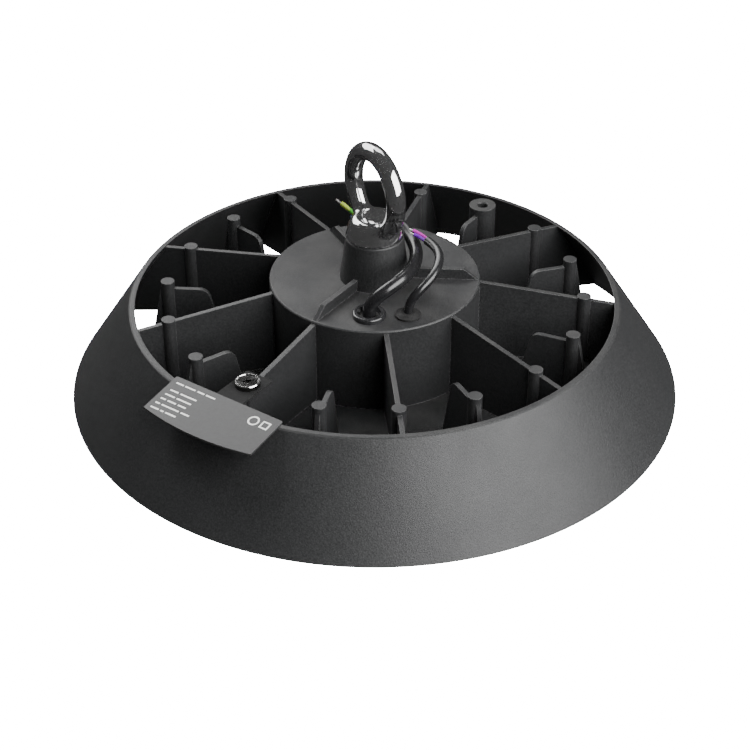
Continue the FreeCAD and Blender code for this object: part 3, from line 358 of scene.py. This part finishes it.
MAINS = [(0, -34.8, 54.2), (0, -34.8, 58.2), (3.4, -35.5, 63.9), (8.3, -34.3, 67.5),
         (13.1, -30.1, 69.6), (16.4, -23.3, 69.4), (18.8, -13.4, 68.0), (19.1, -2.7, 68.3),
         (16.6, 6.6, 68.8), (11.9, 15.5, 71.3), (1.5, 19.8, 71.9), (-9, 20, 72)]
MAINS_RADIUS = 0.0030
CORE_SPREAD = 1.367
CORE_RADIUS = 0.0011
STRAIGHT_OUT = 1.8
STRIPE_ACROSS = (190, 260, -330)
CORE_BENDS = {
    "earth": [(-13.2, 22.0, 75.0), (-16.9, 23.7, 77.0)],
    "neutral": [(-12.0, 22.3, 70.4), (-12.0, 24.3, 69.8)],
    "line": [(-12.2, 17.7, 70.6), (-12.6, 15.9, 68.8)]}

sheath, shader, wire = finish("cable_sheath", Specular_IOR_Level=0.5)
rub = wire.noise(260, 3, 0.6)
fine = wire.noise(600, 2, 0.5)
feed(shader,
     Base_Color=wire.blend(rub.spread(0.35, 0.75), (0.007, 0.007, 0.0075), (0.012, 0.012, 0.0125)),
     Roughness=rub.spread(0.3, 0.7, 0.21, 0.27),
     Normal=wire.bump(fine, 0.000004, 0.5))


def insulation(name, colour, stripe=None):
    """A core's thin insulation, with a second colour along it on an earth core."""
    made, shader, wire = finish(name, Specular_IOR_Level=0.5)
    mottle = wire.noise(900, 2, 0.5)
    shade = wire.blend(mottle.spread(0.3, 0.7), colour, tuple(c * 0.82 for c in colour))
    if stripe:
        across = wire.vectors("DOT_PRODUCT", wire.place(), STRIPE_ACROSS, "Value")
        band = wire.maths("SINE", across * 4.0) > 0.6
        shade = wire.blend(band, shade, stripe)
    feed(shader,
         Base_Color=shade,
         Roughness=mottle.spread(0.3, 0.7, 0.16, 0.24),
         Normal=wire.bump(mottle, 0.00001, 0.4))
    return made


green = insulation("earth_insulation", (0.33, 0.42, 0.06), (0.05, 0.22, 0.03))
blue = insulation("neutral_insulation", (0.004, 0.010, 0.045))
brown = insulation("line_insulation", (0.035, 0.014, 0.007))
violet = insulation("dim_plus_insulation", (0.10, 0.007, 0.25))
pink = insulation("dim_minus_insulation", (0.30, 0.010, 0.24))

mains = route("mains_sheath", MAINS, MAINS_RADIUS, sheath)
for wire_name, turn, insulated, core_slot in (
        ("earth", 64, green, "earth_green"),
        ("neutral", -56, blue, "neutral_blue"),
        ("line", 184, brown, "line_brown")):
    side = -CORE_SPREAD * math.cos(math.radians(turn))
    up = CORE_SPREAD * math.sin(math.radians(turn))
    points = branch(MAINS, side, up, CORE_BENDS[wire_name])
    core = route(f"{wire_name}_tail", points, CORE_RADIUS, insulated)
    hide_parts(f"{wire_name}_core")
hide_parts("mains_cable")

strands, shader, wire = finish("tinned_strands", Metallic=1.0)
twist = wire.noise(2600, 2, 0.5)
feed(shader,
     Base_Color=wire.blend(twist.spread(0.3, 0.7), (0.75, 0.73, 0.70), (0.93, 0.92, 0.90)),
     Roughness=twist.spread(0.3, 0.7, 0.22, 0.4),
     Normal=wire.bump(twist, 0.00008, 0.8))
dress(strands, "core_tips", "dim_tips")


# Dimming cable. A thinner sheath with two cores, which leaves the roof through a rubber
# grommet beside the gland and lies inside the bend of the mains cable.
DIMMING = [(16.91, -33.19, 54.6), (16.91, -33.19, 57.6), (18.6, -33.0, 62.0), (21.3, -32.1, 65.4),
           (24.5, -29.7, 68.1), (27.2, -25.9, 70.0), (29.2, -20.5, 71.5), (29.7, -13.0, 72.6),
           (27.1, -5.8, 73.3), (23.6, -1.6, 73.5)]
DIM_RADIUS = 0.0020
DIM_SPREAD = 0.864
DIM_CORE_RADIUS = 0.0008
PLUS_BENDS = [(19.6, 1.0, 74.0), (17.5, 1.9, 74.5)]
MINUS_BENDS = [(20.2, 2.9, 74.3), (17.05, 4.5, 75.0)]

dimming = route("dimming_sheath", DIMMING, DIM_RADIUS, sheath)
plus_points = branch(DIMMING, DIM_SPREAD, 0.0, PLUS_BENDS)
plus_core = route("dim_plus_tail", plus_points, DIM_CORE_RADIUS, violet)
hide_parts("dim_plus_core")
minus_points = branch(DIMMING, -DIM_SPREAD, 0.0, MINUS_BENDS)
minus_core = route("dim_minus_tail", minus_points, DIM_CORE_RADIUS, pink)
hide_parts("dim_minus_core")
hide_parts("dimming_cable")


# Label plate. A bent aluminium plate in dark grey lacquer, with a matt tab that the screw holds
# to a post, the tab painted darker as shade. It is printed in white with rows of plain bars, a ring and a
# square frame.
POST_PLACE = (-0.04745, -0.08219)
TAG_TURN = math.radians(238.5)
TAB_END = 12.2
BAR_HALF = 0.4
MARK_OUT = 17.7
RING_ALONG = 17.3
RING_RADIUS = 2.2
RING_HALF = 0.38
FRAME_ALONG = 23.2
FRAME_RADIUS = 1.7
FRAME_HALF = 0.34
PRINT_ROWS = (
    (15.4, (-25.8, -21.8), (-20.9, -15.4), (-14.3, -10.6), (-9.7, -4.9)),
    (20.0, (-25.2, -20.8), (-19.7, -11.1)),
    (22.9, (-25.5, -20.3), (-19.3, -11.6)),
    (25.7, (-25.6, -22.9), (-21.9, -17.4), (-16.3, -12.1)),
    (28.7, (-25.9, -23.6), (-22.6, -13.4), (-12.3, -7.9)),
    (31.7, (-26.0, -21.7), (-20.8, -19.0), (-18.1, -12.5)))

tag, shader, wire = finish("label_print", Specular_IOR_Level=0.3)
cloud = wire.noise(500, 3, 0.6)
scuff = wire.noise(1400, 3, 0.7)
on_tag = wire.node("ShaderNodeMapping", {
    "Vector": wire.place(), "Location": (*POST_PLACE, 0), "Rotation": (0, 0, TAG_TURN)},
    vector_type="TEXTURE")
out = on_tag.along("X") * 1000
over = on_tag.along("Y") * 1000
ink = 0.0
for row, *bars in PRINT_ROWS:
    within = 0.0
    for start, end in bars:
        within = (abs(over - (start + end) / 2) < (end - start) / 2) + within
    ink = (abs(out - row) < BAR_HALF) * within + ink
ring_far = wire.maths("SQRT", (out - MARK_OUT) ** 2 + (over - RING_ALONG) ** 2)
ink = (abs(ring_far - RING_RADIUS) < RING_HALF) + ink
frame_far = wire.maths("MAXIMUM", abs(out - MARK_OUT), abs(over - FRAME_ALONG))
ink = (abs(frame_far - FRAME_RADIUS) < FRAME_HALF) + ink
printed = ink * wire.facing().along("Z").spread(0.5, 0.8)
tab = out < TAB_END
lacquer = wire.blend(cloud.spread(0.3, 0.7), (0.020, 0.020, 0.0203), (0.027, 0.027, 0.0273))
# Painted shade: the flat tab is darkened in colour, standing in for the shade it takes beside the bent
# plate.
lacquer_with_painted_tab_shade = wire.blend(tab, lacquer, (0.005, 0.005, 0.0051))
feed(shader,
     Base_Color=wire.blend(printed * scuff.spread(0.28, 0.42, 0.72, 1.0), lacquer_with_painted_tab_shade, (0.52, 0.52, 0.50)),
     Roughness=cloud.spread(0.3, 0.7, 0.34, 0.42) + printed * 0.1 + tab * 0.5,
     Normal=wire.bump(cloud, 0.00004, 0.5))
dress(tag, "label_plate")


# Label screw and small steel fasteners. The label screw is turned and nickel plated, with a
# polished rim round a dish painted dark as shade, and a pressed cross recess. The hidden ones are zinc
# plated.
HEAD_UNDER = 0.0477
HEAD_TOP = 0.0500
HEAD_RADIUS = 0.0054
RIM_HEIGHT = 0.0003
RIM_SLOPE = 0.0003
RIM_FLAT = 0.0005
DISH_SLOPE = 0.0002
DISH_DEPTH = 0.0004
DISH_RADIUS = 0.0045
THREAD_RADIUS = 0.0019
THREAD_LENGTH = 0.0060
CROSS_SIZE = (0.0054, 0.0013, 0.0034)
CROSS_TAPER = (0.55, 0.6, 1)
CROSS_TURNS = (25, 115)


def axis_distance(wire, x, y):
    """How far a point of the surface is from an upright axis."""
    off = wire.vectors("SUBTRACT", wire.place(), (x, y, 0))
    flat = wire.vectors("MULTIPLY", off, (1, 1, 0))
    return wire.node("ShaderNodeVectorMath", {0: flat}, "Value", operation="LENGTH")


bright, shader, wire = finish("nickel_steel", Metallic=1.0, Anisotropic=0.6, Anisotropic_Rotation=0.25)
brushed = wire.noise(300, 2, 0.5)
on_rim = (axis_distance(wire, *POST_PLACE) > DISH_RADIUS) * (wire.facing().along("Z") > 0.3)
# Painted shade: the dish inside the rim gets a dark metal colour for the shade in the recess.
dish_painted_shade = wire.blend(brushed.spread(0.3, 0.7), (0.13, 0.129, 0.127), (0.19, 0.188, 0.186))
feed(shader,
     Base_Color=wire.blend(on_rim, dish_painted_shade, (0.85, 0.845, 0.83)),
     Roughness=brushed.spread(0.3, 0.7, 0.11, 0.14),
     Normal=wire.bump(brushed, 0.000002, 0.4))

bpy.ops.object.select_all(action="DESELECT")
bpy.ops.mesh.primitive_cylinder_add(
    vertices=64, radius=HEAD_RADIUS, depth=HEAD_TOP - RIM_HEIGHT - HEAD_UNDER,
    location=(*POST_PLACE, (HEAD_TOP - RIM_HEIGHT + HEAD_UNDER) / 2))
screw = bpy.context.active_object
pick(screw, lambda face: face.normal.z > 0.9)
bpy.ops.mesh.inset(thickness=RIM_SLOPE)
bpy.ops.transform.translate(value=(0, 0, RIM_HEIGHT))
bpy.ops.mesh.inset(thickness=RIM_FLAT)
bpy.ops.mesh.inset(thickness=DISH_SLOPE)
bpy.ops.transform.translate(value=(0, 0, -DISH_DEPTH))
bpy.ops.object.mode_set(mode="OBJECT")
pick(screw, lambda face: face.normal.z < -0.9)
bpy.ops.mesh.inset(thickness=HEAD_RADIUS - THREAD_RADIUS)
bpy.ops.mesh.extrude_region_move(TRANSFORM_OT_translate={"value": (0, 0, -THREAD_LENGTH)})
bpy.ops.object.mode_set(mode="OBJECT")

for turn in CROSS_TURNS:
    bpy.ops.object.select_all(action="DESELECT")
    bpy.ops.mesh.primitive_cube_add(
        size=1, location=(*POST_PLACE, HEAD_TOP), rotation=(0, 0, math.radians(turn)), scale=CROSS_SIZE)
    cutter = bpy.context.active_object
    pick(cutter, lambda face: face.normal.z < -0.9)
    bpy.ops.transform.resize(value=CROSS_TAPER, center_override=(*POST_PLACE, HEAD_TOP))
    bpy.ops.object.mode_set(mode="OBJECT")
    applied(screw, "BOOLEAN", operation="DIFFERENCE", object=cutter, solver="EXACT")
    only(cutter)
    bpy.ops.object.delete()
only(screw)
bpy.ops.object.shade_smooth_by_angle(angle=math.radians(40))
settle(screw, "cross_head_screw", bright)
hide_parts("label_screw")

zinc, shader, wire = finish("zinc_steel", Metallic=1.0)
spangle = wire.noise(500, 3, 0.6)
feed(shader,
     Base_Color=wire.blend(spangle.spread(0.3, 0.7), (0.42, 0.42, 0.40), (0.60, 0.60, 0.57)),
     Roughness=spangle.spread(0.3, 0.7, 0.28, 0.46),
     Normal=wire.bump(spangle, 0.00006, 0.4))
dress(zinc, "cover_screws", "lens_screws", "power_switch", "switch_heatsink")


# Driver. A moulded tray holds the board with its parts. It is pushed up into the compartment
# and closed in there by a sheet cover with three screws.
def plain_finish(name, dark, light, rough, metallic=0.0, scale=700, depth=0.00005):
    """A mottled finish for the hidden parts."""
    made, shader, wire = finish(name, Metallic=metallic)
    mottle = wire.noise(scale, 3, 0.6)
    feed(shader,
         Base_Color=wire.blend(mottle.spread(0.3, 0.7), dark, light),
         Roughness=mottle.spread(0.3, 0.7, rough - 0.06, rough + 0.08),
         Normal=wire.bump(mottle, depth, 0.5))
    return made


dress(plain_finish("bare_sheet", (0.55, 0.56, 0.57), (0.70, 0.71, 0.72), 0.34, 1.0, 900), "driver_cover")
dress(plain_finish("tray_nylon", (0.66, 0.65, 0.60), (0.74, 0.73, 0.69), 0.45), "driver_tray")
dress(plain_finish("board_resist", (0.01, 0.11, 0.03), (0.02, 0.16, 0.05), 0.35), "driver_board")
dress(plain_finish("ferrite", (0.03, 0.03, 0.032), (0.06, 0.06, 0.062), 0.6), "transformer_core")
dress(plain_finish("winding_tape", (0.75, 0.60, 0.08), (0.85, 0.70, 0.14), 0.4), "transformer_winding")
dress(plain_finish("enamelled_wire", (0.45, 0.16, 0.05), (0.62, 0.26, 0.10), 0.3, 0.8), "line_choke")
dress(plain_finish("film_box", (0.60, 0.30, 0.03), (0.70, 0.38, 0.06), 0.4), "film_capacitors")
dress(plain_finish("can_sleeve", (0.015, 0.02, 0.05), (0.03, 0.04, 0.08), 0.35),
      "bulk_capacitor", "output_capacitor")
dress(plain_finish("lead_insulation", (0.55, 0.03, 0.02), (0.70, 0.06, 0.04), 0.4),
      "led_leads", "input_leads")


# LED board, lens plate and ring. A white-masked board with three rings of chips under one
# clear moulded plate of lenses, all held up by a black ring and nine screws.
CHIP_RINGS = ((0.040, 12), (0.058, 18), (0.076, 24))
TRACK_HALF = 0.0022

resist, shader, wire = finish("white_resist")
cloudy = wire.noise(900, 3, 0.6)
centre_far = axis_distance(wire, 0, 0)
tracks = 0.0
for circle, count in CHIP_RINGS:
    tracks = (abs(centre_far - circle) < TRACK_HALF) + tracks
white = wire.blend(cloudy.spread(0.3, 0.7), (0.78, 0.78, 0.76), (0.86, 0.86, 0.84))
feed(shader,
     Base_Color=wire.blend(tracks, white, (0.66, 0.67, 0.64)),
     Roughness=cloudy.spread(0.3, 0.7, 0.34, 0.48),
     Normal=wire.bump(tracks, 0.00004, 0.6))
dress(resist, "led_board")

phosphor, shader, wire = finish("phosphor")
powder = wire.noise(2200, 2, 0.5)
feed(shader,
     Base_Color=wire.blend(powder.spread(0.3, 0.7), (0.88, 0.66, 0.10), (0.95, 0.76, 0.20)),
     Roughness=powder.spread(0.3, 0.7, 0.4, 0.55),
     Normal=wire.bump(powder, 0.00004, 0.5))
dress(phosphor, "led_chips")

SHEET_UNDER = 0.0059
SHEET_TOP = 0.0079
PLATE_RIM = 0.0025
DOME_RADIUS = 0.0056
DOME_HEIGHT = 0.0030
DOME_ROOT = 0.0006

lens, shader, wire = finish("lens_clear", IOR=1.58, Transmission_Weight=1.0, Base_Color=(0.97, 0.98, 0.98))
flow = wire.noise(160, 2, 0.5)
feed(shader, Roughness=flow.spread(0.3, 0.7, 0.03, 0.07), Normal=wire.bump(flow, 0.0001, 0.25))

plate_radius, _, plate_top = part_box("lens_plate")[1]
bpy.ops.object.select_all(action="DESELECT")
bpy.ops.mesh.primitive_cylinder_add(
    vertices=128, radius=plate_radius, depth=plate_top - SHEET_UNDER,
    location=(0, 0, (plate_top + SHEET_UNDER) / 2))
plate = bpy.context.active_object
pick(plate, lambda face: face.normal.z > 0.9)
bpy.ops.mesh.inset(thickness=PLATE_RIM)
bpy.ops.mesh.extrude_region_move(TRANSFORM_OT_translate={"value": (0, 0, SHEET_TOP - plate_top)})
bpy.ops.object.mode_set(mode="OBJECT")

bpy.ops.object.select_all(action="DESELECT")
bpy.ops.mesh.primitive_uv_sphere_add(segments=28, ring_count=16, radius=DOME_RADIUS)
dome = bpy.context.active_object
bpy.ops.object.mode_set(mode="EDIT")
bpy.ops.transform.resize(value=(1, 1, DOME_HEIGHT / DOME_RADIUS))
bpy.ops.mesh.bisect(plane_co=(0, 0, DOME_ROOT), plane_no=(0, 0, 1), use_fill=True, clear_outer=True)
bpy.ops.object.mode_set(mode="OBJECT")
domes = []
for circle, count in CHIP_RINGS:
    for step in range(count):
        turn = 2 * math.pi * step / count
        one = dome.copy()
        one.data = dome.data.copy()
        one.location = (circle * math.cos(turn), circle * math.sin(turn), SHEET_UNDER)
        bpy.context.collection.objects.link(one)
        domes.append(one)
only(dome)
bpy.ops.object.delete()
only(*domes)
bpy.ops.object.join()
applied(plate, "BOOLEAN", operation="UNION", object=domes[0], solver="EXACT")
only(domes[0])
bpy.ops.object.delete()
only(plate)
bpy.ops.object.shade_smooth_by_angle(angle=math.radians(30))
settle(plate, "clear_lenses", lens)
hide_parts("lens_plate")
dress(coat, "lens_ring")


# Studio. A glowing white floor that lights nothing, a wide soft box at the front right, two soft
# panels behind and a soft overhead light. The camera stands where the photograph was taken from.
LIT_POINT = Vector((0, 0, 0.05))
CAMERA_AIM = Vector((0.00019, 0, -0.00082))
CAMERA_TURN = math.radians(3.93)
CAMERA_RISE = math.radians(34.17)
CAMERA_FAR = 0.83243
CAMERA_LENS = 85.12

bpy.ops.object.select_all(action="DESELECT")
bpy.ops.mesh.primitive_plane_add(size=12, location=(0, 0, 0))
floor = bpy.context.active_object
floor.name = "studio_floor"
pale = finish("pale_floor", Base_Color=(0.94, 0.94, 0.94), Roughness=0.9, Specular_IOR_Level=0.2,
              Emission_Color=(1, 1, 1), Emission_Strength=30.0)[0]
floor.data.materials.append(pale)
floor.visible_glossy = False
floor.visible_diffuse = False


def soft_light(name, place, wide, high, power):
    """A flat soft light that faces the middle of the object."""
    light = bpy.data.lights.new(name, "AREA")
    light.shape = "RECTANGLE"
    light.size = wide
    light.size_y = high
    light.energy = power
    lamp = bpy.data.objects.new(name, light)
    lamp.location = place
    lamp.rotation_euler = (LIT_POINT - Vector(place)).to_track_quat("-Z", "Y").to_euler()
    bpy.context.collection.objects.link(lamp)


soft_light("key_box", (0.79, -0.55, 0.69), wide=1.5, high=1.0, power=58)
soft_light("back_panel", (-0.635, 0.655, 0.665), wide=0.86, high=0.65, power=12.5)
soft_light("top_strip", (-0.094, 0.669, 0.98), wide=0.7, high=0.45, power=4.5)

overhead = bpy.data.lights.new("overhead", "SUN")
overhead.energy = 3.2
overhead.angle = math.radians(22)
ceiling = bpy.data.objects.new("overhead", overhead)
ceiling.rotation_euler = Vector((0.42, -0.2, -1)).to_track_quat("-Z", "Y").to_euler()
ceiling.visible_glossy = False
bpy.context.collection.objects.link(ceiling)

world = bpy.data.worlds.new("studio")
bpy.context.scene.world = world
world.use_nodes = True
glow = world.node_tree.nodes["Background"]
glow.inputs["Color"].default_value = (1, 1, 1, 1)
glow.inputs["Strength"].default_value = 0.08

back = Vector((math.sin(CAMERA_TURN) * math.cos(CAMERA_RISE),
               -math.cos(CAMERA_TURN) * math.cos(CAMERA_RISE), math.sin(CAMERA_RISE)))
eyepiece = bpy.data.cameras.new("camera")
eyepiece.sensor_width = 36
eyepiece.lens = CAMERA_LENS
eyepiece.clip_start = 0.01
camera = bpy.data.objects.new("camera", eyepiece)
camera.location = CAMERA_AIM + back * CAMERA_FAR
camera.rotation_euler = (-back).to_track_quat("-Z", "Y").to_euler()
bpy.context.collection.objects.link(camera)
bpy.context.scene.camera = camera
